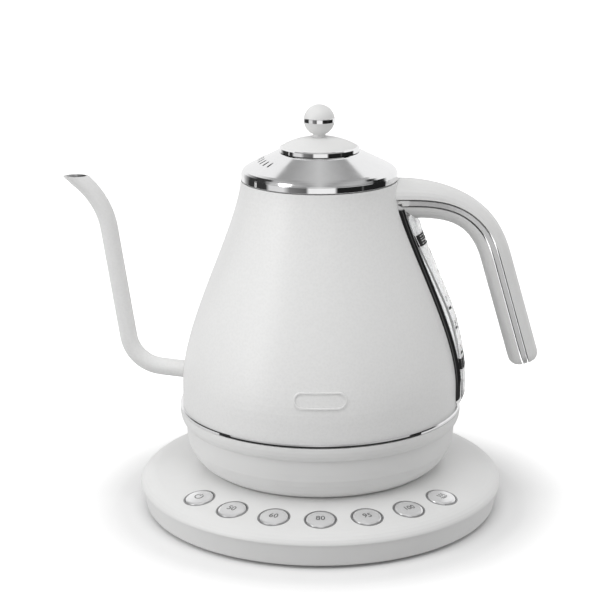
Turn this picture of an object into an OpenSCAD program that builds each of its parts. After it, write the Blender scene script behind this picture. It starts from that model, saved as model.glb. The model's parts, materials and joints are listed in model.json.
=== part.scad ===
// Gooseneck kettle on a round heated power base with seven push buttons.
// Millimetres, +Z up, the kettle's axis is Z, the table is z = 0.
// The spout points to -X, the handle to +X and the buttons face -Y.
$fn = 72;

/* [Power base] */
// radius of the widest part of the base
plate_r = 118; // [105:1:130]
// height of the seam between the shell and the tray
seam_z = 16.8; // [12:0.2:20]
// radius of the circle that the buttons sit on
button_ring_r = 98.7; // [90:0.1:104]
// angle between neighbouring buttons
button_step = 16.7; // [15:0.1:20]
// radius of one button cap
cap_r = 8.9; // [7:0.1:9.5]
// radius of the well around a cap
well_r = 10.15; // [8:0.05:11]

/* [Kettle body] */
// radius of the body at its foot
body_r = 89.1; // [80:0.1:100]
// radius of the body at its mouth
neck_r = 49.7; // [40:0.1:60]
// height of the mouth
mouth_z = 216; // [200:0.5:230]
// height where the curve of the body starts
waist_z = 84; // [76:0.5:95]
// steps in the body's curve
body_steps = 26; // [12:1:40]

/* [Spout] */
// outside radius of the spout pipe
pipe_r = 5.7; // [4:0.1:8]
// radius of the lower bend
low_bend_r = 24; // [16:0.5:32]
// radius of the upper bend
top_bend_r = 50; // [30:1:70]
// lean of the riser from upright
riser_lean = 8; // [0:0.5:15]
// lean of the tip from upright
tip_lean = 46.5; // [30:1:70]
// height of the cut at the tip
tip_z = 218.6; // [205:0.2:230]

/* [Handle] */
// half thickness of the grip
grip_h = 9.75; // [8:0.05:12]
// half width of the grip
grip_w = 11.6; // [9:0.1:14]
// half width of the root where it meets the body
root_w = 19.4; // [14:0.1:22]
// half thickness of the root
root_h = 11.9; // [10:0.1:14]

/* [Water window] */
// half width of the chrome bezel
bezel_w = 21.6; // [18:0.1:25]
// half width of the clear window
window_w = 18; // [12:0.1:20]
// how far the bezel stands off the body
bezel_t = 2.5; // [1:0.1:4]

/* [Lid] */
// radius of the lid's rim
lid_r = 49.5; // [42:0.1:60]
// radius of the cap on top of the lid
top_cap_r = 25.2; // [18:0.1:30]
// radius of the ball knob
knob_r = 9.8; // [7:0.1:14]
// height of the middle of the ball
knob_z = 253.7; // [245:0.1:262]

/* [Hidden] */

white = "#e6e5e2";
steel = "#b9bbbd";
chrome_c = "#d9dbdd";
grey = "#8b8d8f";
dark = "#2b2c2e";

// slope of the base's top, from the kettle's foot out to the shoulder
seat_r = 75;
seat_z = 30;
shoulder_r = 108;
shoulder_z = 24.4;
top_slope = atan((seat_z - shoulder_z) / (shoulder_r - seat_r));
button_z = seat_z - (button_ring_r - seat_r) * tan(top_slope);

function bez(p, t) = pow(1 - t, 3) * p[0] + 3 * t * pow(1 - t, 2) * p[1]
    + 3 * t * t * (1 - t) * p[2] + pow(t, 3) * p[3];

// ---------- shared helpers ----------

// a 2-D outline drawn in (y, z), made solid between two x
module across(x0, x1) {
    translate([x0, 0, 0]) rotate([90, 0, 90]) linear_extrude(height = x1 - x0) children();
}

// a slot outline: half width w, from z0 to z1, with corner radius r
module tall_rrect(w, z0, z1, r) {
    translate([-w, z0 + r]) square([2 * w, z1 - z0 - 2 * r]);
    translate([-w + r, z0]) square([2 * w - 2 * r, z1 - z0]);
    for (x = [-w + r, w - r], z = [z0 + r, z1 - r]) translate([x, z]) circle(r = r);
}

module ring(r_out, r_in, z0, z1) {
    translate([0, 0, z0]) difference() {
        cylinder(r = r_out, h = z1 - z0);
        translate([0, 0, -1]) cylinder(r = r_in, h = z1 - z0 + 2);
    }
}

// a skin through rows of points, closed at both ends
module loft(rows) {
    n = len(rows[0]);
    m = len(rows);
    polyhedron(
        points = [for (row = rows) for (p = row) p],
        faces = concat(
            [[for (i = [n - 1:-1:0]) i]],
            [for (j = [0:m - 2]) for (i = [0:n - 1])
                [j * n + i, j * n + (i + 1) % n, (j + 1) * n + (i + 1) % n, (j + 1) * n + i]],
            [[for (i = [0:n - 1]) (m - 1) * n + i]]
        ),
        convexity = 6
    );
}

// ---------- power base ----------

module at_buttons(i0 = 0, i1 = 6) {
    for (i = [i0:i1]) rotate([0, 0, -90 + (i - 3) * button_step])
        translate([button_ring_r, 0, 0]) children();
}

module on_slope() {
    translate([0, 0, button_z]) rotate([0, top_slope, 0]) children();
}

module at_screws() {
    for (a = [45, 135, 225, 315]) rotate([0, 0, a]) translate([70, 0, 0]) children();
}

module base_shell() {
    color(white) difference() {
        rotate_extrude() polygon([
            [18.5, 30], [seat_r, seat_z], [shoulder_r, shoulder_z], [110.6, 23.7], [113, 22.7],
            [115.1, 21.4], [116.8, 19.8], [117.7, 18.4], [plate_r, seam_z + 0.6],
            [plate_r, seam_z], [115.4, seam_z], [115, 18.4], [113.2, 20], [110, 21.3],
            [107.6, 22], [74.8, 27.4], [18.5, 27.4]
        ]);
        at_buttons() on_slope() translate([0, 0, -8]) cylinder(r = well_r, h = 12);
    }
    color(white) at_screws() difference() {
        translate([0, 0, 11]) cylinder(r = 4, h = 17.3);
        translate([0, 0, 10]) cylinder(r = 1.52, h = 13);
    }
}

module base_tray() {
    color(white) difference() {
        rotate_extrude() polygon([
            [0, 1.6], [111.6, 1.6], [113.4, 2.2], [114.4, 3.4], [117.3, seam_z - 0.5],
            [117.3, seam_z - 0.05], [114.9, seam_z - 0.05], [114.9, seam_z - 0.6],
            [112.4, 3.8], [0, 3.8]
        ]);
        at_screws() translate([0, 0, 0.5]) cylinder(r = 3.6, h = 5);
        translate([0, 122, 9.5]) rotate([90, 0, 0]) cylinder(r = 5, h = 14);
        for (a = [20:40:340]) rotate([0, 0, a]) translate([24, -1.5, 1]) cube([12, 3, 3]);
    }
    color(white) at_screws() difference() {
        translate([0, 0, 3.7]) cylinder(r = 5, h = 7.3);
        translate([0, 0, 3]) cylinder(r = 3.6, h = 6);
        translate([0, 0, 3]) cylinder(r = 1.7, h = 9);
    }
    color(white) for (a = [-126, -102, -78, -54]) rotate([0, 0, a]) translate([104, 0, 3.8])
        cylinder(r = 2.5, h = 5.2);
}

module base_foot_ring() {
    color(dark) ring(107, 98, 0, 1.6);
}

module base_screws() {
    color(steel) at_screws() difference() {
        union() {
            translate([0, 0, 6.8]) cylinder(r = 3.2, h = 2.2);
            translate([0, 0, 9]) cylinder(r = 1.5, h = 11);
        }
        translate([-2, -0.4, 6]) cube([4, 0.8, 1.6]);
        translate([-0.4, -2, 6]) cube([0.8, 4, 1.6]);
    }
}

module connector_plug() {
    color(dark) rotate_extrude() polygon([
        [3.2, 25.4], [21, 25.4], [21, 27.4], [18.4, 27.4], [18.4, 30.6], [14.4, 30.6],
        [14.4, 29.4], [12.5, 29.4], [12.5, 42], [11.6, 43], [9.6, 43], [9.6, 34], [8, 34],
        [8, 43], [3.9, 43], [3.2, 42.2]
    ]);
}

module control_board() {
    color("#2f6b45") difference() {
        rotate([0, 0, -150]) rotate_extrude(angle = 120) translate([87, 9]) square([24, 1.6]);
        for (a = [-126, -102, -78, -54]) rotate([0, 0, a]) translate([104, 0, 8])
            cylinder(r = 1.2, h = 4);
    }
}

module button_switches() {
    color(dark) at_buttons() {
        translate([-3, -3, 10.6]) cube([6, 6, 3.6]);
        translate([0, 0, 14.1]) cylinder(r = 1.7, h = 0.9);
    }
}

module button_wells() {
    color(grey) at_buttons() difference() {
        on_slope() union() {
            translate([0, 0, -5.2]) cylinder(r = well_r - 0.02, h = 5);
        }
        on_slope() translate([0, 0, -3.9]) cylinder(r = well_r - 0.8, h = 6);
        translate([0, 0, 10]) cylinder(r = 3, h = 20);
    }
}

module cord_gland() {
    color(dark) translate([0, 124.5, 9.5]) rotate([90, 0, 0]) difference() {
        union() {
            cylinder(r = 4.7, h = 15);
            translate([0, 0, 8.6]) cylinder(r = 4.95, h = 4);
            translate([0, 0, 12.8]) cylinder(r = 5.6, h = 2);
        }
        translate([0, 0, -1]) cylinder(r = 3.5, h = 18);
    }
}

module button_cap(i) {
    color(steel) at_buttons(i, i) {
        on_slope() translate([0, 0, -2.2]) rotate_extrude() polygon([
            [0, 0], [cap_r - 0.2, 0], [cap_r, 0.3], [cap_r, 1.9], [cap_r - 0.25, 2.45],
            [cap_r - 0.8, 2.8], [cap_r - 1.6, 3.05], [5, 3.3], [2.5, 3.4], [0, 3.43]
        ]);
        translate([0, 0, 15.9]) cylinder(r = 2.4, h = button_z - 17.4);
    }
}

module button_power() button_cap(0);
module button_50() button_cap(1);
module button_60() button_cap(2);
module button_80() button_cap(3);
module button_95() button_cap(4);
module button_100() button_cap(5);
module button_warm() button_cap(6);

// ---------- kettle underside ----------

module connector_socket() {
    color(dark) rotate_extrude() polygon([
        [0, 47], [0, 35], [2.4, 35], [2.6, 35.4], [2.6, 43.8], [13, 43.8], [13, 32.6], [14, 31.4],
        [20, 31.4], [20, 47], [9, 47.4]
    ]);
}

module skirt() {
    color(white) difference() {
        rotate_extrude() polygon([
            [20.35, 30.4], [72.6, 30.4], [74.7, 30.7], [77.4, 32.4], [80.3, 34.9], [82.6, 37.9],
            [84.5, 41.2], [86.1, 45], [86.8, 49.6], [87.2, 54], [87.45, 58.6], [87.45, 62],
            [84.9, 62], [84.8, 54], [84.2, 48], [82.3, 42], [79.3, 37.2], [74, 33.2],
            [72, 32.8], [24, 32.8], [24, 50], [20.35, 50]
        ]);
        for (a = [90, 210, 330]) rotate([0, 0, a]) translate([50, 0, 29])
            cylinder(r = 1.9, h = 6);
    }
}

module skirt_screws() {
    color(steel) for (a = [90, 210, 330]) rotate([0, 0, a]) translate([50, 0, 0]) difference() {
        union() {
            translate([0, 0, 32.8]) cylinder(r = 1.5, h = 26);
            translate([0, 0, 32.8]) cylinder(r = 5, h = 3.1);
            translate([0, 0, 30.7]) cylinder(r = 1.8, h = 2.2);
        }
        translate([-1.3, -0.35, 30]) cube([2.6, 0.7, 1.3]);
        translate([-0.35, -1.3, 30]) cube([0.7, 2.6, 1.3]);
    }
}

module base_ring() {
    color(white) rotate_extrude() polygon([
        [84.9, 62], [87.5, 62], [87.5, 58.8], [88.6, 59.2], [89.7, 60.6], [90.5, 62.6],
        [90.9, 65], [91, 67.9], [90.6, 68.3], [84.9, 68.3]
    ]);
}

module chrome_band() {
    color(chrome_c) rotate_extrude() polygon([
        [84.9, 68.3], [90.5, 68.3], [91, 68.7], [91, 69.9], [90.5, 70.5], [84.9, 70.5]
    ]);
}

module heater_plate() {
    color(steel) translate([0, 0, 71.5]) cylinder(r = 84.8, h = 2.4);
    color(steel) for (a = [90, 210, 330]) rotate([0, 0, a]) translate([50, 0, 0]) difference() {
        translate([0, 0, 36]) cylinder(r = 3, h = 35.6);
        translate([0, 0, 35]) cylinder(r = 1.52, h = 26);
    }
}

module heating_element() {
    color(grey) {
        rotate([0, 0, 110]) rotate_extrude(angle = 320) translate([60, 67.4]) circle(r = 4);
        for (a = [110, 70]) rotate([0, 0, a]) translate([60, 0, 60])
            cylinder(r = 2.6, h = 7.5);
    }
}

module control_block() {
    color(dark) {
        ring(30, 6, 54, 64);
        for (a = [0, 120, 240]) rotate([0, 0, a]) translate([27, 0, 63.9])
            cylinder(r = 2.6, h = 7.6);
        for (a = [60, 180, 300]) rotate([0, 0, a]) translate([22, 0, 50])
            cylinder(r = 1.8, h = 4.1);
    }
}

// ---------- kettle body ----------

body_curve = [[neck_r, mouth_z], [neck_r + 2.8, 184.5], [body_r, waist_z + 38], [body_r, waist_z]];
body_pts = [for (i = [0:body_steps]) bez(body_curve, i / body_steps)];

module body_solid(off = 0, z0 = 70.5, z1 = mouth_z) {
    rotate_extrude() polygon(concat(
        [[0, z1], [neck_r - off, z1]],
        [for (p = body_pts) if (p[1] < z1 - 0.5) [p[0] - off, p[1]]],
        [[body_r - off, z0], [0, z0]]
    ));
}

module spout_bore(r) {
    translate([-72, 0, 92.56 - 31.1 * tan(7.5)]) rotate([0, -82.5, 0]) cylinder(r = r, h = 28);
}

module window_slot() {
    across(40, 95) tall_rrect(8, 86, 184, 5);
}

module body_shell() {
    color(white) difference() {
        body_solid();
        body_solid(1, 69, 214.8);
        translate([0, 0, 210]) cylinder(r = neck_r - 2.4, h = 8);
        spout_bore(pipe_r + 0.04);
        window_slot();
    }
}

module inner_vessel() {
    color(steel) difference() {
        body_solid(1.5, 74, 214.75);
        body_solid(2.3, 75.2, 216);
        spout_bore(pipe_r + 0.04);
        window_slot();
    }
}

module badge_plate() {
    color(white) difference() {
        intersection() {
            translate([0, -80, 97.9]) rotate([90, 0, 0]) linear_extrude(height = 14) difference() {
                badge_outline(5.2);
                badge_outline(4.3);
            }
            body_solid(-0.7);
        }
        body_solid();
    }
}

module badge_outline(r) {
    translate([-11, -r]) square([22, 2 * r]);
    for (x = [-11, 11]) translate([x, 0]) circle(r = r);
}

// ---------- water window ----------

window_x = 35;
// the window's outer face at y = 0
window_pts = [[60.4, 203], [62.2, 194], [65.4, 183.5], [70, 171.5], [75.2, 159], [80.3, 146.5],
    [84.6, 136], [88.2, 125.5], [90.8, 115], [92.7, 105], [93.9, 95.5], [94.2, 88], [94.2, 77],
    [93.4, 74.6], [92.4, 73.6]];

module window_face(off = 0) {
    translate([window_x, 0, 0]) rotate_extrude() polygon(concat(
        [[0, 203]],
        [for (p = window_pts) [p[0] - window_x - off, p[1]]],
        [[0, 73.6]]
    ));
}

module water_window() {
    color("#e8eef0", 0.6) difference() {
        intersection() {
            across(40, 97) tall_rrect(window_w, 73.6, 202, 6);
            window_face();
        }
        intersection() {
            across(40, 97) tall_rrect(window_w - 2.4, 80, 196, 5);
            window_face(2.4);
        }
        body_solid(0, 70.5, 216);
    }
}

module window_bezel() {
    color(chrome_c) difference() {
        intersection() {
            across(40, 97) tall_rrect(bezel_w, 70.5, 205, 7);
            body_solid(-bezel_t, 70.5, 216);
        }
        across(38, 98) tall_rrect(window_w + 0.02, 73.58, 202.02, 6);
        body_solid(0, 70, 217);
    }
}

// what the handle's root is cut back to
module window_room(gap = 0) {
    intersection() {
        across(40, 97) tall_rrect(bezel_w + gap, 70.5, 205 + gap, 7);
        union() {
            body_solid(-bezel_t - gap, 70.5, 216);
            intersection() {
                across(40, 97) tall_rrect(window_w, 73.6, 202, 6);
                window_face(-gap);
            }
        }
    }
}

// ---------- spout ----------

low_start = [-103.1, 92.56];
low_mid = low_start + low_bend_r * [sin(7.5), cos(7.5)];
low_end = low_mid - low_bend_r * [cos(riser_lean), sin(riser_lean)];
riser_len = 72.2;
riser_end = low_end + riser_len * [-sin(riser_lean), cos(riser_lean)];
top_mid = riser_end - top_bend_r * [cos(riser_lean), sin(riser_lean)];
top_end = top_mid + top_bend_r * [cos(tip_lean), sin(tip_lean)];

// stations along the spout: [point, lean from upright]
function spout_stations(inner_x) = concat(
    [[[inner_x, low_start[1] + (low_start[0] - inner_x) * tan(7.5)], 82.5]],
    [for (i = [0:12]) let (a = 82.5 + (riser_lean - 82.5) * i / 12)
        [low_mid - low_bend_r * [cos(a), sin(a)], a]],
    [for (i = [0:8]) let (a = riser_lean + (tip_lean - riser_lean) * i / 8)
        [top_mid + top_bend_r * [cos(a), sin(a)], a]]
);

function pipe_ring(s, r, sides) = [for (i = [0:sides - 1]) let (q = 360 * i / sides)
    [s[0][0] + r * cos(q) * cos(s[1]), r * sin(q), s[0][1] + r * cos(q) * sin(s[1])]];

// the last ring again, carried on along the pipe to the level cut
function cut_ring(ring) = [for (p = ring) let (t = (tip_z - p[2]) / cos(tip_lean))
    [p[0] - t * sin(tip_lean), p[1], tip_z]];

function pipe_skin(r, inner_x, sides) = let (
    rings = [for (s = spout_stations(inner_x)) pipe_ring(s, r, sides)])
    concat(rings, [cut_ring(rings[len(rings) - 1])]);

module pipe(r_out, r_in, inner_x, sides) {
    outer = pipe_skin(r_out, inner_x, sides);
    inner = pipe_skin(r_in, inner_x, sides);
    rows = concat(outer, [for (j = [len(inner) - 1:-1:0]) inner[j]]);
    m = len(rows);
    polyhedron(
        points = [for (row = rows) for (p = row) p],
        faces = [for (j = [0:m - 1]) for (i = [0:sides - 1]) let (k = (j + 1) % m)
            [j * sides + i, j * sides + (i + 1) % sides, k * sides + (i + 1) % sides, k * sides + i]],
        convexity = 8
    );
}

module spout_sleeve() color(white) pipe(pipe_r, 5.14, -85.2, 28);
module spout_liner() color(steel) pipe(5.08, 4.6, -85.2, 20);

module spout_strainer() {
    color(steel) translate([-85.2, 0, 92.56 - 17.9 * tan(7.5)]) rotate([0, 97.5, 0]) difference() {
        cylinder(r = 7.4, h = 0.8);
        translate([0, 0, -1]) cylinder(r = 1, h = 3);
        for (a = [0:60:300]) rotate([0, 0, a]) translate([3, 0, -1]) cylinder(r = 0.9, h = 3);
    }
}

// ---------- handle ----------

bend_path = [[44, 203.9], [82, 204.6], [103.8, 196.6], [112.5, 165]];
tail = [132.6, 95.6];
tail_len = norm(tail - bend_path[3]);
tail_dir = (tail - bend_path[3]) / tail_len;
round_end = 5.5;

// stations: [point, direction, half width, half thickness]
function path_dir(t) = let (d = bez(bend_path, t + 0.01) - bez(bend_path, t - 0.01)) d / norm(d);
function ease(x, a, b) = let (u = min(1, max(0, (x - a) / (b - a)))) u * u * (3 - 2 * u);
function width_at(x) = root_w + (grip_w - root_w) * ease(x, 46, 92);
function thick_at(x) = root_h + (grip_h - root_h) * ease(x, 56, 100);
stations = concat(
    [for (i = [0:18]) let (t = i / 18, p = bez(bend_path, t))
        [p, path_dir(t), width_at(p[0]), thick_at(p[0])]],
    [for (i = [1:5]) let (s = (tail_len - round_end) * i / 5)
        [bend_path[3] + tail_dir * s, tail_dir, grip_w, grip_h]],
    [for (a = [18:18:90]) let (s = tail_len - round_end + round_end * sin(a))
        [bend_path[3] + tail_dir * s, tail_dir,
            grip_w - round_end * (1 - cos(a)), grip_h - round_end * (1 - cos(a))]]
);

// a point of a station's section: v is across the thickness, outward positive
function on_section(s, y, v) = [s[0][0] - s[1][1] * v, y, s[0][1] + s[1][0] * v];
function bulge(w, h, v) = w * pow(1 - pow(min(1, abs(v) / h), 2.5), 1 / 2.5);

split_gap = 1.65;
trim_h = 1.38;
half_steps = 15;

// the half of a section above the split, as a D
function d_section(s, side) = let (h = s[3], w = s[2])
    [for (i = [0:half_steps])
        let (a = 180 * i / half_steps, a0 = asin(split_gap / h), b = a0 + (180 - 2 * a0) * a / 180,
            v = h * pow(sin(b), 0.8), v2 = max(split_gap, v), y = bulge(w, h, v2))
        on_section(s, (b < 90 ? y : -y), side * v2)];

module handle_half(side) {
    loft([for (s = stations) side > 0 ? d_section(s, 1) : [for (i = [half_steps:-1:0])
        d_section(s, -1)[i]]]);
}

module root_cut(gap = 0) {
    body_solid(-gap, 100, 216.2);
    window_room(gap);
}

module handle_outer() {
    color(white) difference() {
        handle_half(1);
        root_cut();
    }
}

module handle_inner() {
    color(white) difference() {
        handle_half(-1);
        root_cut();
    }
}

function slab(s, w, v) = [on_section(s, -w, -v), on_section(s, w, -v), on_section(s, w, v),
    on_section(s, -w, v)];

module handle_tang() {
    color(steel) difference() {
        loft([for (i = [0:23]) slab(stations[i], 7, split_gap - 0.01)]);
        root_cut(0.2);
    }
}

// one side of the groove's filling, from the tang's edge out to just under the skin
function side_strip(s, side, v, under) = let (a = 7.02, b = s[2] - under)
    side > 0
        ? [on_section(s, a, -v), on_section(s, b, -v), on_section(s, b, v), on_section(s, a, v)]
        : [on_section(s, -b, -v), on_section(s, -a, -v), on_section(s, -a, v), on_section(s, -b, v)];

module handle_trim() {
    color(steel) {
        for (side = [-1, 1])
            loft([for (i = [2:23]) side_strip(stations[i], side, trim_h, 0.25)]);
        loft([for (i = [23:28]) slab(stations[i], stations[i][2] - 0.25, trim_h)]);
    }
}

module handle_filler() {
    color(white) difference() {
        for (side = [-1, 1])
            loft([for (i = [0:2]) side_strip(stations[i], side, split_gap - 0.01, 0.07)]);
        root_cut(0.2);
    }
}

// ---------- lid ----------

module lid_cone() {
    color(chrome_c) difference() {
        rotate_extrude() polygon([
            [top_cap_r - 0.6, 233.9], [26.4, 233.9], [28.4, 233.2], [46.2, 224.2], [47.7, 223.2],
            [48.7, 222.1], [49.3, 220.8], [49.3, 220.6], [47.6, 220.6], [47, 221.4], [45.4, 222.4],
            [28, 231.2], [26, 231.9], [top_cap_r - 0.6, 231.9]
        ]);
        for (i = [-4:4]) rotate([0, 0, 180 + i * 8.5]) {
            translate([35.1, -0.75, 215]) cube([3.2, 1.5, 25]);
            for (x = [35.1, 38.3]) translate([x, 0, 215]) cylinder(r = 0.75, h = 25);
        }
    }
}

module lid_rim() {
    color(chrome_c) rotate_extrude() polygon([
        [46, 216.5], [49.1, 216.5], [lid_r, 216.9], [lid_r, 220.2], [49.3, 220.6], [46, 220.6]
    ]);
}

module lid_inner() {
    color(steel) rotate_extrude() polygon([
        [46, 218.6], [46, 220.6], [44, 220.6], [42.6, 219.2], [42.6, 204], [41.6, 202.8],
        [14, 202.8], [14, 201.4], [42.4, 201.4], [43.8, 203], [43.8, 216.4], [46, 218.6]
    ]);
    color(steel) difference() {
        cylinder(r = 14, h = 202.8);
        translate([0, 0, -1]) cylinder(r = 20, h = 202.4);
        for (a = [0:60:300]) rotate([0, 0, a]) translate([9, 0, 200]) cylinder(r = 1.5, h = 4);
    }
}

module lid_seal() {
    color("#cfd0d0") rotate_extrude() polygon([
        [43.8, 207], [45.6, 208.4], [45.6, 209.2], [45, 209.6], [46.2, 211.2], [46.2, 212],
        [43.8, 213]
    ]);
}

module lid_cap() {
    color(white) rotate_extrude() polygon([
        [2.1, 233.9], [23.8, 233.9], [23.8, 237.2], [21.6, 238.5], [18.4, 239.9],
        [14.6, 241.2], [10.6, 242.2], [6.6, 242.8], [2.1, 243]
    ]);
}

module lid_cap_ring() {
    color(chrome_c) rotate_extrude() polygon([
        [23.8, 233.9], [24.3, 233.9], [top_cap_r, 234.2], [top_cap_r, 236.5], [24.3, 237],
        [23.8, 237.2]
    ]);
}

module knob_stem() {
    color(chrome_c) rotate_extrude() polygon([
        [0, 228.6], [4.6, 228.6], [4.6, 231], [2, 231], [2, 243], [4.6, 243], [4.3, 243.6],
        [3.9, 244.4], [3.9, 245.4], [2, 245.4], [2, 250], [0, 250]
    ]);
    color(chrome_c) ring(24.2, 4.6, 229.4, 230.9);
    color(chrome_c) ring(25.6, 24.2, 229.4, 231.9);
}

module ball(lo, hi, bore_top) {
    difference() {
        intersection() {
            translate([0, 0, knob_z]) sphere(r = knob_r);
            translate([0, 0, lo]) cylinder(r = 15, h = hi - lo);
        }
        translate([0, 0, knob_z - 15]) cylinder(r = 2.02, h = bore_top - knob_z + 15);
    }
}

module knob_lower() {
    color(white) difference() {
        ball(knob_z - 15, knob_z - 1.4, 250.05);
        translate([0, 0, 240]) cylinder(r = 3.92, h = 5.42);
    }
}

module knob_band() {
    color(chrome_c) rotate_extrude() polygon([
        [0, knob_z - 1.4], [knob_r - 0.1, knob_z - 1.4], [knob_r + 0.2, knob_z - 1.1],
        [knob_r + 0.2, knob_z + 1.1], [knob_r - 0.1, knob_z + 1.4], [0, knob_z + 1.4]
    ]);
}

module knob_upper() {
    color(white) intersection() {
        translate([0, 0, knob_z]) sphere(r = knob_r);
        translate([0, 0, knob_z + 1.4]) cylinder(r = 15, h = 15);
    }
}

base_shell();
base_tray();
base_foot_ring();
base_screws();
connector_plug();
control_board();
button_switches();
button_wells();
cord_gland();
button_power();
button_50();
button_60();
button_80();
button_95();
button_100();
button_warm();
connector_socket();
body_shell();
inner_vessel();
heater_plate();
heating_element();
control_block();
chrome_band();
base_ring();
skirt();
skirt_screws();
window_bezel();
water_window();
badge_plate();
spout_sleeve();
spout_liner();
spout_strainer();
handle_outer();
handle_inner();
handle_trim();
handle_filler();
handle_tang();
lid_cone();
lid_rim();
lid_inner();
lid_seal();
lid_cap();
lid_cap_ring();
knob_stem();
knob_lower();
knob_band();
knob_upper();
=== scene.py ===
"""A gooseneck kettle on its heated base, in a white studio. Metres, in the CAD frame."""
import json
import math

import bmesh
import bpy
from mathutils import Matrix, Vector


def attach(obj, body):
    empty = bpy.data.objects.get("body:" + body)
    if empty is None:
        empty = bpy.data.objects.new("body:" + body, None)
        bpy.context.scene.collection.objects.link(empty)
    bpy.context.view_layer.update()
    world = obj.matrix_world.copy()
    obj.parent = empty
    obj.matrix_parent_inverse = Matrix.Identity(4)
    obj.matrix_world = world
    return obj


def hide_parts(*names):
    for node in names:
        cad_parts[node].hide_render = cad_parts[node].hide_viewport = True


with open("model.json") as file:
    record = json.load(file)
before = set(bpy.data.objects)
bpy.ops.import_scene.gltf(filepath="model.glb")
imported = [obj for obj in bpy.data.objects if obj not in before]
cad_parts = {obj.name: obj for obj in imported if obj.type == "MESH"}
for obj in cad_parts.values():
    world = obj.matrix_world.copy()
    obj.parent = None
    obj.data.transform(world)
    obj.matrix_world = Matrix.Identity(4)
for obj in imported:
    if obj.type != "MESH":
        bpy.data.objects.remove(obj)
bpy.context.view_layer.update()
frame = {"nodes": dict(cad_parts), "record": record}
nodes = frame["nodes"]
MM = 0.001


# ---------------------------------------------------------------- camera

CAMERA_PLACE = (0, -1.0928, 0.4408)
LENS_MM = 105.84
# degrees: turned to the left, tipped down and rolled
CAMERA_PAN, CAMERA_DOWN, CAMERA_ROLL = 0.666, 15.55, -0.36


def make_camera():
    cam_data = bpy.data.cameras.new("camera")
    cam_data.sensor_width = 36
    cam_data.lens = LENS_MM
    cam_data.clip_start = 0.05
    cam_data.clip_end = 50
    cam = bpy.data.objects.new("camera", cam_data)
    bpy.context.scene.collection.objects.link(cam)
    turn = (Matrix.Rotation(math.radians(CAMERA_PAN), 4, "Z")
            @ Matrix.Rotation(math.radians(90 - CAMERA_DOWN), 4, "X")
            @ Matrix.Rotation(math.radians(CAMERA_ROLL), 4, "Z"))
    cam.matrix_world = Matrix.Translation(CAMERA_PLACE) @ turn
    bpy.context.scene.camera = cam


make_camera()


# ---------------------------------------------------------------- node helpers

class Shader:
    """A node tree with short ways to add and join nodes."""

    def __init__(self, tree):
        self.tree = tree
        tree.nodes.clear()

    def add(self, kind, **settings):
        node = self.tree.nodes.new(kind)
        for key, value in settings.items():
            setattr(node, key, value)
        return node

    def link(self, out, into):
        self.tree.links.new(out, into)

    def feed(self, socket, value):
        if isinstance(value, bpy.types.NodeSocket):
            self.link(value, socket)
        else:
            socket.default_value = value

    def math(self, op, a, b=0.0):
        node = self.add("ShaderNodeMath", operation=op)
        self.feed(node.inputs[0], a)
        self.feed(node.inputs[1], b)
        return node.outputs[0]

    def ramp(self, value, stops):
        node = self.add("ShaderNodeValToRGB")
        while len(node.color_ramp.elements) < len(stops):
            node.color_ramp.elements.new(0.5)
        for element, (place, colour) in zip(node.color_ramp.elements, stops):
            element.position = place
            level = colour if isinstance(colour, (list, tuple)) else (colour,) * 3
            element.color = (*level, 1)
        self.feed(node.inputs[0], value)
        return node.outputs[0]

    def mix(self, factor, a, b):
        node = self.add("ShaderNodeMix", data_type="RGBA")
        self.feed(node.inputs[0], factor)
        for socket, value in ((node.inputs[6], a), (node.inputs[7], b)):
            if isinstance(value, (list, tuple)):
                value = (*value, 1) if len(value) == 3 else value
            self.feed(socket, value)
        return node.outputs[2]

    def noise(self, scale, detail=3.0, roughness=0.5, where=None):
        node = self.add("ShaderNodeTexNoise")
        node.inputs["Scale"].default_value = scale
        node.inputs["Detail"].default_value = detail
        node.inputs["Roughness"].default_value = roughness
        if where is not None:
            self.link(where, node.inputs["Vector"])
        return node.outputs[0]

    def place(self):
        return self.add("ShaderNodeTexCoord").outputs["Object"]

    def stretched(self, scale):
        node = self.add("ShaderNodeMapping")
        self.link(self.place(), node.inputs["Vector"])
        node.inputs["Scale"].default_value = scale
        return node.outputs[0]


def shader_material(name):
    material = bpy.data.materials.new(name)
    material.use_nodes = True
    s = Shader(material.node_tree)
    surface = s.add("ShaderNodeBsdfPrincipled")
    out = s.add("ShaderNodeOutputMaterial")
    s.link(surface.outputs[0], out.inputs["Surface"])
    return material, s, surface


def bump(s, surface, height, strength, distance):
    node = s.add("ShaderNodeBump")
    node.inputs["Strength"].default_value = strength
    node.inputs["Distance"].default_value = distance
    s.link(height, node.inputs["Height"])
    s.link(node.outputs[0], surface.inputs["Normal"])


def plastic(name, colour, rough, grain=900, grain_depth=0.00001, tint=0.02):
    """Moulded plastic or paint: slight colour and gloss drift, and a fine skin texture."""
    material, s, surface = shader_material(name)
    where = s.place()
    drift = s.noise(22, 3, 0.5, where)
    low = [c * (1 - tint) for c in colour]
    s.link(s.ramp(drift, [(0.35, low), (0.65, colour)]), surface.inputs["Base Color"])
    s.link(s.ramp(s.noise(60, 4, 0.6, where), [(0.3, rough * 0.92), (0.7, rough * 1.08)]),
           surface.inputs["Roughness"])
    bump(s, surface, s.noise(grain, 2, 0.5, where), 0.6, grain_depth)
    return material


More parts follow.
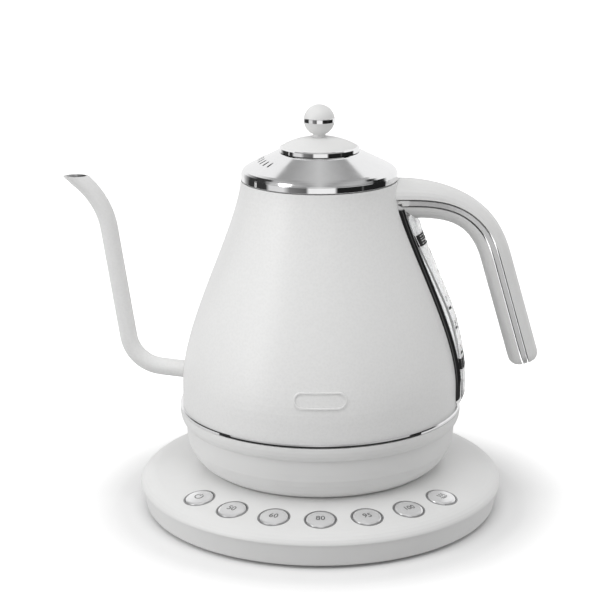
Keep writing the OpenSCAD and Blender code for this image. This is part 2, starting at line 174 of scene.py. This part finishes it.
def body_paint(name):
    """Satin white paint with a fine orange-peel grain."""
    material, s, surface = shader_material(name)
    where = s.place()
    cells = s.add("ShaderNodeTexVoronoi", feature="SMOOTH_F1")
    cells.inputs["Scale"].default_value = 620
    cells.inputs["Smoothness"].default_value = 0.6
    s.link(where, cells.inputs["Vector"])
    fine = s.noise(1300, 3, 0.6, where)
    grain = s.math("ADD", s.math("MULTIPLY", cells.outputs[0], 0.7), s.math("MULTIPLY", fine, 0.5))
    tone = s.ramp(grain, [(0.2, (0.80, 0.80, 0.795)), (0.75, (0.84, 0.84, 0.835))])
    s.link(tone, surface.inputs["Base Color"])
    s.link(s.ramp(fine, [(0.3, 0.34), (0.7, 0.44)]), surface.inputs["Roughness"])
    bump(s, surface, grain, 0.55, 0.00006)
    return material


def metal(name, colour, rough, scratch=(1, 1, 1), scratch_scale=300, depth=0.0, spread=0.25,
          share=1.0):
    """Metal whose gloss varies with fine marks, stretched where it is brushed."""
    material, s, surface = shader_material(name)
    marks = s.noise(scratch_scale, 4, 0.6, s.stretched(scratch))
    surface.inputs["Metallic"].default_value = share
    dim = [c * 0.97 for c in colour]
    s.link(s.ramp(marks, [(0.3, dim), (0.7, colour)]), surface.inputs["Base Color"])
    s.link(s.ramp(marks, [(0.3, rough * (1 - spread)), (0.7, rough * (1 + spread))]),
           surface.inputs["Roughness"])
    if depth:
        bump(s, surface, marks, 0.5, depth)
    return material


def clear(name):
    """The water window: clear, faintly frosted plastic."""
    material, s, surface = shader_material(name)
    where = s.place()
    surface.inputs["IOR"].default_value = 1.49
    surface.inputs["Transmission Weight"].default_value = 0.8
    tone = s.ramp(s.noise(30, 2, 0.5, where),
                  [(0.3, (0.95, 0.955, 0.96)), (0.7, (0.97, 0.972, 0.975))])
    s.link(tone, surface.inputs["Base Color"])
    s.link(s.ramp(s.noise(80, 3, 0.5, where), [(0.3, 0.05), (0.7, 0.08)]),
           surface.inputs["Roughness"])
    return material


white_plastic = plastic("white_plastic", (0.80, 0.80, 0.795), 0.38)
white_paint = body_paint("white_paint")
base_white = plastic("base_white", (0.80, 0.80, 0.795), 0.42, grain=1400, grain_depth=0.00002)
rubber = plastic("black_rubber", (0.02, 0.02, 0.02), 0.75, grain=700, grain_depth=0.00005, tint=0.2)
black_plastic = plastic("black_plastic", (0.025, 0.025, 0.027), 0.45, tint=0.2)
grey_plastic = plastic("grey_plastic", (0.30, 0.30, 0.305), 0.5, tint=0.08)
board_green = plastic("board_green", (0.02, 0.13, 0.05), 0.35, grain=400, tint=0.25)
silicone = plastic("silicone", (0.55, 0.55, 0.55), 0.6)
ink = plastic("ink", (0.045, 0.045, 0.045), 0.6, tint=0.1)
window_ink = plastic("window_ink", (0.012, 0.012, 0.012), 0.8, tint=0.1)
# painted shade: this dark grey on the flush rings round the buttons stands in for the shade in each
# well
painted_shade_ring = metal("painted_shade_ring", (0.34, 0.34, 0.345), 0.3, scratch_scale=300, spread=0.1, share=0.7)
chrome = metal("chrome", (0.88, 0.88, 0.885), 0.045, scratch_scale=140)
cone_chrome = metal("cone_chrome", (0.86, 0.86, 0.865), 0.12, scratch_scale=200)
steel = metal("steel", (0.62, 0.62, 0.62), 0.3, scratch=(1, 1, 14), scratch_scale=260, depth=0.00001)
satin = metal("satin_metal", (0.88, 0.88, 0.885), 0.24, scratch_scale=90, spread=0.06, share=0.6)
trim_metal = metal("trim_metal", (0.80, 0.80, 0.80), 0.4, scratch_scale=400, spread=0.12, share=0.45)
element_metal = metal("element_metal", (0.35, 0.33, 0.31), 0.5, scratch_scale=120, depth=0.00003)
window_clear = clear("window_clear")

LOOKS = {
    "white_plastic": white_plastic, "white_paint": white_paint, "rubber": rubber, "steel": steel,
    "satin_metal": satin, "trim_metal": trim_metal, "chrome": chrome,
    "black_plastic": black_plastic, "grey_plastic": grey_plastic, "green_board": board_green,
    "element_metal": element_metal, "clear_plastic": window_clear, "silicone": silicone,
}
# nodes whose look isn't their slot's usual one
SPECIAL = {"base_shell": base_white, "base_tray": base_white, "lid_cone": cone_chrome,
           "knob_stem": white_plastic}

for part in frame["record"]["subparts"]:
    obj = nodes[part["node"]]
    look = SPECIAL.get(part["node"], LOOKS[part["material_slot"]])
    obj.data.materials.clear()
    obj.data.materials.append(look)


# ---------------------------------------------------------------- small pieces

def add_piece(name, mesh, material, body):
    obj = bpy.data.objects.new(name, mesh)
    bpy.context.scene.collection.objects.link(obj)
    mesh.materials.clear()
    mesh.materials.append(material)
    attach(obj, body)
    return obj


def mesh_from(name, bm):
    """Closes a bmesh into a mesh with its faces turned outwards."""
    bmesh.ops.recalc_face_normals(bm, faces=bm.faces)
    mesh = bpy.data.meshes.new(name)
    bm.to_mesh(mesh)
    bm.free()
    return mesh


def swept(name, rings):
    """A smooth closed loop from rings of points, each ring a closed section, in millimetres."""
    bm = bmesh.new()
    loops = [[bm.verts.new(Vector(point) * MM) for point in ring] for ring in rings]
    count = len(loops[0])
    for a, b in zip(loops, loops[1:] + loops[:1]):
        for j in range(count):
            k = (j + 1) % count
            bm.faces.new((a[j], a[k], b[k], b[j]))
    mesh = mesh_from(name, bm)
    for face in mesh.polygons:
        face.use_smooth = True
    return mesh


# ---------------------------------------------------------------- printed marks

BUTTONS = ["power", "50", "60", "80", "95", "100", "warm"]
# the buttons' middles: radius, degrees apart and height, and the fall of the base's top in degrees
BUTTON_RING_R, BUTTON_STEP, BUTTON_Z, TOP_SLOPE = 98.7, 16.7, 25.98, 9.631
# the domed cap of a button, as (radius, rise)
CAP_PROFILE = [(0, 1.23), (2.5, 1.2), (5, 1.1), (7.3, 0.85), (8.9, 0.2)]
INK_LIFT, INK_DEPTH = 0.02, 0.03
# a capital's height as a share of the font's size
CAPITAL_SHARE = 0.72


def along(profile, at):
    """Straight-line reading of a list of (place, value) pairs."""
    for (a, va), (b, vb) in zip(profile, profile[1:]):
        if (a - at) * (b - at) <= 0 and a != b:
            return va + (vb - va) * (at - a) / (b - a)
    return profile[-1][1] if abs(at - profile[-1][0]) < abs(at - profile[0][0]) else profile[0][1]


def ribbon(bm, points, width):
    """A flat stroke of even width along 2-D points, as a thin closed slab."""
    ends = []
    for i, (px, py) in enumerate(points):
        before = points[max(i - 1, 0)]
        after = points[min(i + 1, len(points) - 1)]
        dx, dy = after[0] - before[0], after[1] - before[1]
        size = math.hypot(dx, dy)
        nx, ny = -dy / size * width / 2, dx / size * width / 2
        ends.append([bm.verts.new((px + side * nx, py + side * ny, z))
                     for z in (0, INK_DEPTH) for side in (1, -1)])
    for a, b in zip(ends, ends[1:]):
        for i, j in ((0, 1), (1, 3), (3, 2), (2, 0)):
            bm.faces.new((a[i], a[j], b[j], b[i]))
    for end in (ends[0], ends[-1]):
        bm.faces.new((end[0], end[1], end[3], end[2]))


def lettering(bm, text, height, squeeze=1.0, centre=(0, 0)):
    """Numbers as thin closed slabs, their middle at centre."""
    curve = bpy.data.curves.new("lettering", "FONT")
    curve.body = text
    curve.align_x, curve.align_y = "CENTER", "CENTER"
    curve.size = height / CAPITAL_SHARE
    curve.extrude = INK_DEPTH / 2
    curve.resolution_u = 5
    holder = bpy.data.objects.new("lettering", curve)
    bpy.context.scene.collection.objects.link(holder)
    graph = bpy.context.evaluated_depsgraph_get()
    flat = bpy.data.meshes.new_from_object(holder.evaluated_get(graph))
    low = min(v.co.y for v in flat.vertices)
    high = max(v.co.y for v in flat.vertices)
    for v in flat.vertices:
        v.co.x = v.co.x * squeeze + centre[0]
        v.co.y += centre[1] - (low + high) / 2
        v.co.z += INK_DEPTH / 2
    bm.from_mesh(flat)
    bpy.data.objects.remove(holder)
    bpy.data.curves.remove(curve)
    bpy.data.meshes.remove(flat)


def finish_mark(name, bm, shape, material, body):
    """Bends a flat drawing in millimetres onto a surface, and makes it a piece."""
    bmesh.ops.remove_doubles(bm, verts=bm.verts, dist=0.0005)
    for vert in bm.verts:
        vert.co = Vector(shape(vert.co)) * MM
    add_piece(name, mesh_from(name, bm), material, body)


def button_frame(index):
    """The middle of one button's well, with z square to the base's sloping top."""
    turn = -90 + (index - len(BUTTONS) // 2) * BUTTON_STEP
    return (Matrix.Rotation(math.radians(turn), 4, "Z")
            @ Matrix.Translation((BUTTON_RING_R, 0, BUTTON_Z))
            @ Matrix.Rotation(math.radians(TOP_SLOPE), 4, "Y"))


def on_button(index):
    """From a drawing, up towards the kettle, to the domed top of one button."""
    frame_at = button_frame(index)

    def shape(p):
        rise = along(CAP_PROFILE, math.hypot(p.x, p.y))
        return frame_at @ Vector((-p.y, p.x, rise + INK_LIFT + p.z))
    return shape


def circle_points(radius, start, stop, steps):
    turns = [math.radians(start + (stop - start) * i / steps) for i in range(steps + 1)]
    return [(radius * math.cos(turn), radius * math.sin(turn)) for turn in turns]


def draw_power(bm):
    """A circle open at the top, with a stroke in the gap."""
    ribbon(bm, circle_points(2.6, 120, 420, 40), 0.6)
    ribbon(bm, [(0, 0.6), (0, 3.2)], 0.6)


def draw_warm(bm):
    """Three waves of steam over a plate and its foot."""
    steps, sway, foot, rise = 16, 0.42, -0.7, 3.3
    for x in (-1.9, 0, 1.9):
        ribbon(bm, [(x + sway * math.sin(math.radians(360 * i / steps)), foot + rise * i / steps)
                    for i in range(steps + 1)], 0.5)
    ribbon(bm, [(-2.9, -1.7), (2.9, -1.7)], 0.5)
    ribbon(bm, [(-1.9, -2.6), (1.9, -2.6)], 0.5)


def button_marks():
    for index, word in enumerate(BUTTONS):
        bm = bmesh.new()
        if word == "power":
            draw_power(bm)
        elif word == "warm":
            draw_warm(bm)
        else:
            lettering(bm, word, *((4.6, 0.92) if len(word) == 2 else (4.1, 0.9)))
        finish_mark("mark_" + word, bm, on_button(index), ink, "button_" + word)


# the axis that the window's outer face turns about, and half the window's width
WINDOW_MIDDLE_X, WINDOW_HALF = 35, 18.0
# that face at y = 0 as the CAD has it, as (z, x)
WINDOW_OUTLINE = [(203, 60.4), (194, 62.2), (183.5, 65.4), (171.5, 70), (159, 75.2), (146.5, 80.3),
                  (136, 84.6), (125.5, 88.2), (115, 90.8), (105, 92.7), (95.5, 93.9), (88, 94.2),
                  (77, 94.2)]


def on_window(p):
    """From a drawing in (y, z) to the bulged outer face of the water window."""
    reach = along(WINDOW_OUTLINE, p.y) - WINDOW_MIDDLE_X
    out = math.sqrt(reach * reach - p.x * p.x)
    lift = INK_LIFT + p.z
    return (WINDOW_MIDDLE_X + out * (reach + lift) / reach, p.x * (reach + lift) / reach, p.y)


def stripe(bm, y0, y1, z, thick):
    """A level stroke in enough steps to bend with the window."""
    steps = 8
    ribbon(bm, [(y0 + (y1 - y0) * i / steps, z) for i in range(steps + 1)], thick)


def on_window_side(p):
    """From a drawing in (inwards from the front edge, z) to the window's side wall."""
    reach = along(WINDOW_OUTLINE, p.y) - WINDOW_MIDDLE_X
    front = WINDOW_MIDDLE_X + math.sqrt(reach * reach - WINDOW_HALF ** 2)
    return (front - p.x, -WINDOW_HALF - INK_LIFT - p.z, p.y)


def window_marks():
    """Plain stripes at the top and bottom levels, and three ticks with a number above each."""
    high, low, middle = 176.4, 96.0, 3.0
    bm = bmesh.new()
    for i, reach in enumerate((-2.0, -6.5, -1.5, -5.0, -2.5)):
        stripe(bm, -17.6, reach, high + 1.5 * i, 1.0)
        stripe(bm, -17.8, reach - 1, low + 1.5 * i, 0.95)
    for z in (high + middle, low + middle):
        stripe(bm, -17.6, -13.5, z, 6.9)
    finish_mark("mark_levels", bm, on_window, window_ink, "kettle")
    bm = bmesh.new()
    stripe(bm, 0.1, 1.4, high + middle, 7.0)
    stripe(bm, 0.1, 1.8, low + middle, 7.0)
    finish_mark("mark_levels_side", bm, on_window_side, window_ink, "kettle")
    bm = bmesh.new()
    for z in (135.2, 122.3, 105.9):
        stripe(bm, -17.0, -11.0, z, 1.5)
    for z, word in ((141.2, "7"), (125.4, "5"), (109.2, "3")):
        lettering(bm, word, 3.0, 1.9, (-14.3, z))
    finish_mark("mark_scale", bm, on_window, window_ink, "kettle")


# ---------------------------------------------------------------- metal surrounds, and painted shade round the buttons

def button_shade_rings():
    """A flush metal ring in each well, with softened edges, its dark grey painting the shade of the
    well round each cap.
    """
    section = [(9.12, -1.2), (9.12, -0.12), (9.2, 0.0), (9.32, 0.05), (9.9, 0.05), (10.02, 0.0),
               (10.1, -0.12), (10.1, -1.2)]
    turns = [2 * math.pi * i / 72 for i in range(72)]
    for index in range(len(BUTTONS)):
        frame_at = button_frame(index)
        rings = [[frame_at @ Vector((r * math.cos(turn), r * math.sin(turn), z))
                  for r, z in section] for turn in turns]
        mesh = swept("button_shade_ring", rings)
        name = "button_surround_%d" % (index + 1)
        # each ring's dark grey is painted shade of the well round the cap
        add_piece(name, mesh, painted_shade_ring, "power_base")


# the corners of the curve that the body's outline follows, as (radius, z), and its straight foot
BODY_CURVE = ((49.7, 216.0), (52.5, 184.5), (89.1, 122.0), (89.1, 84.0))
BODY_FOOT = (70.0, 89.1)
SURROUND_LOW, SURROUND_HIGH, SURROUND_CORNER, SURROUND_HALF = 70.6, 205.0, 7.0, 21.6
SURFACE_LIFT = 0.02


def body_outline():
    """The body's outline as (z, radius), from the mouth down."""
    steps = 60
    outline = []
    for i in range(steps + 1):
        t = i / steps
        weights = ((1 - t) ** 3, 3 * t * (1 - t) ** 2, 3 * t * t * (1 - t), t ** 3)
        r, z = (sum(w * corner[k] for w, corner in zip(weights, BODY_CURVE)) for k in (0, 1))
        outline.append((z, r))
    return outline + [BODY_FOOT]


def surround_path():
    """The window's outline with round corners, as (corner's middle y and z, degrees)."""
    corner_steps, side_steps = 6, 40
    y = SURROUND_HALF - SURROUND_CORNER
    top, bottom = SURROUND_HIGH - SURROUND_CORNER, SURROUND_LOW + SURROUND_CORNER
    corners = []
    for middle_y, middle_z, start in ((y, top, 0), (-y, top, 90), (-y, bottom, 180), (y, bottom, 270)):
        corners += [(middle_y, middle_z, start + 90 * i / corner_steps)
                    for i in range(corner_steps + 1)]
    path = []
    for (y0, z0, turn), (_, z1, next_turn) in zip(corners, corners[1:] + corners[:1]):
        path.append((y0, z0, turn))
        # this divides the -Y side only: the +Y side goes from 360 to 0 degrees and stays one step
        if next_turn == turn and z1 != z0:
            path += [(y0, z0 + (z1 - z0) * i / side_steps, turn) for i in range(1, side_steps)]
    return path


def window_surround():
    """The chrome surround with a rounded bead section, swept round the window's outline."""
    body = body_outline()
    # the bead's section, as (inset, rise)
    section = [(0, 0), (0.28, 0.45), (0.7, 1.05), (1.15, 1.65), (1.6, 2.2), (2.1, 2.7),
               (2.6, 3.1), (3.05, 3.3), (3.35, 3.2), (3.5, 2.8), (3.5, 0)]
    rings = []
    for y, z, turn in surround_path():
        ring = []
        for inset, rise in section:
            py = y + (SURROUND_CORNER - inset) * math.cos(math.radians(turn))
            pz = z + (SURROUND_CORNER - inset) * math.sin(math.radians(turn))
            r = along(body, pz) + rise + SURFACE_LIFT
            ring.append((math.sqrt(r * r - py * py), py, pz))
        rings.append(ring)
    piece = add_piece("window_surround", swept("window_surround", rings), chrome, "kettle")
    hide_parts("window_bezel")


button_marks()
button_shade_rings()
window_marks()
window_surround()


# ---------------------------------------------------------------- studio

def world_light():
    """White to the camera, even light for matt surfaces, and a painted studio for reflections."""
    world = bpy.data.worlds.new("studio")
    bpy.context.scene.world = world
    world.use_nodes = True
    s = Shader(world.node_tree)
    direction = s.add("ShaderNodeTexCoord").outputs["Generated"]
    split = s.add("ShaderNodeSeparateXYZ")
    s.link(direction, split.inputs[0])
    x, y, z = split.outputs
    # 0 straight behind, rising through the left (0.25), the camera (0.5) and the right (0.75)
    turn = s.add("ShaderNodeMath", operation="ARCTAN2")
    s.link(s.math("MULTIPLY", x, -1.0), turn.inputs[0])
    s.link(y, turn.inputs[1])
    around = s.math("FRACT", s.math("ADD", s.math("DIVIDE", turn.outputs[0], 2 * math.pi), 1.0))

    def at(degrees):
        """Place on the turn of an azimuth counted from the camera, right positive."""
        return 0.5 + degrees / 360

    walls = s.ramp(around, [
        (0.0, 0.98), (at(-146), 0.98), (at(-136), 0.45), (at(-124), 0.04), (at(-84), 0.04),
        (at(-78), 0.75), (at(-54), 0.8), (at(-44), 0.22), (at(-19), 0.12), (at(-15), 0.97),
        (at(22), 0.97), (at(26), 0.015), (at(64), 0.015), (at(66), 0.12), (at(68), 0.015),
        (at(112), 0.015), (at(118), 0.98), (1.0, 0.98)])
    high = s.ramp(s.math("ABSOLUTE", x), [(0.0, 0.62), (0.25, 0.36), (0.6, 0.5)])
    sweep_top = s.ramp(z, [(0.74, 0.0), (0.76, 1.0)])
    behind = s.math("GREATER_THAN", y, 0.0)
    front_top = s.ramp(z, [(0.35, 0.0), (0.5, 1.0)])
    above = s.mix(behind, front_top, sweep_top)
    painted = s.mix(above, walls, high)
    # under the horizon: light behind and dark in front
    below = s.ramp(s.math("ADD", z, 0.5), [(0.195, 1.0), (0.25, 0.0)])
    under = s.mix(behind, (0.03, 0.03, 0.03), (0.74, 0.74, 0.74))
    painted = s.mix(below, painted, under)

    path = s.add("ShaderNodeLightPath")
    seen = s.math("MAXIMUM", path.outputs["Is Camera Ray"], path.outputs["Is Transmission Ray"])
    plain = s.mix(seen, (0.47, 0.47, 0.47), (1.0, 1.0, 1.0))
    colour = s.mix(path.outputs["Is Glossy Ray"], plain, painted)
    background = s.add("ShaderNodeBackground")
    s.link(colour, background.inputs["Color"])
    out = s.add("ShaderNodeOutputWorld")
    s.link(background.outputs[0], out.inputs["Surface"])


def area_light(name, place, target, size, power, glossy=True):
    data = bpy.data.lights.new(name, "AREA")
    data.shape = "RECTANGLE"
    data.size, data.size_y = size
    data.energy = power
    obj = bpy.data.objects.new(name, data)
    bpy.context.scene.collection.objects.link(obj)
    obj.location = place
    obj.rotation_euler = (Vector(target) - Vector(place)).to_track_quat("-Z", "Y").to_euler()
    obj.visible_glossy = glossy


def floor():
    mesh = bpy.data.meshes.new("floor")
    half = 6.0
    mesh.from_pydata([(-half, -half, 0), (half, -half, 0), (half, half, 0), (-half, half, 0)], [],
                     [(0, 1, 2, 3)])
    obj = bpy.data.objects.new("floor", mesh)
    bpy.context.scene.collection.objects.link(obj)
    material, s, surface = shader_material("floor_white")
    path = s.add("ShaderNodeLightPath")
    seen = s.math("MAXIMUM", path.outputs["Is Camera Ray"], path.outputs["Is Transmission Ray"])
    # the floor is paper white to the camera and a darker grey to all other rays, so it throws less
    # light on the kettle than it shows
    paper = s.ramp(s.noise(3, 2), [(0.3, (0.93, 0.93, 0.93)), (0.7, (0.94, 0.94, 0.94))])
    s.link(s.mix(seen, (0.62, 0.62, 0.62), paper), surface.inputs["Base Color"])
    surface.inputs["Roughness"].default_value = 0.9
    surface.inputs["Emission Color"].default_value = (1, 1, 1, 1)
    reach = s.add("ShaderNodeVectorMath", operation="LENGTH")
    s.link(s.place(), reach.inputs[0])
    # painted light: the floor glows to the camera alone, not at all near the base and more further
    # out, so it fades to the white of the background and leaves a painted shadow round the base
    painted_glow = s.ramp(reach.outputs["Value"], [(0.13, 0.0), (0.17, 0.35), (0.27, 0.9)])
    s.link(s.math("MULTIPLY", seen, painted_glow), surface.inputs["Emission Strength"])
    mesh.materials.append(material)
    obj.visible_glossy = False


world_light()
floor()
area_light("key", (-1.3, -0.9, 0.7), (0, 0, 0.16), (0.5, 1.1), 5)
area_light("left", (-1.6, 0.1, 0.45), (0, 0, 0.1), (1.0, 0.8), 4.5, glossy=False)
area_light("right", (1.6, 0.1, 0.45), (0, 0, 0.1), (1.0, 0.8), 2.3, glossy=False)
area_light("top", (0.0, -0.65, 1.75), (0, -0.03, 0.08), (1.5, 1.3), 13.5, glossy=False)
bpy.context.scene.view_settings.view_transform = "Standard"
bpy.context.scene.view_settings.look = "None"
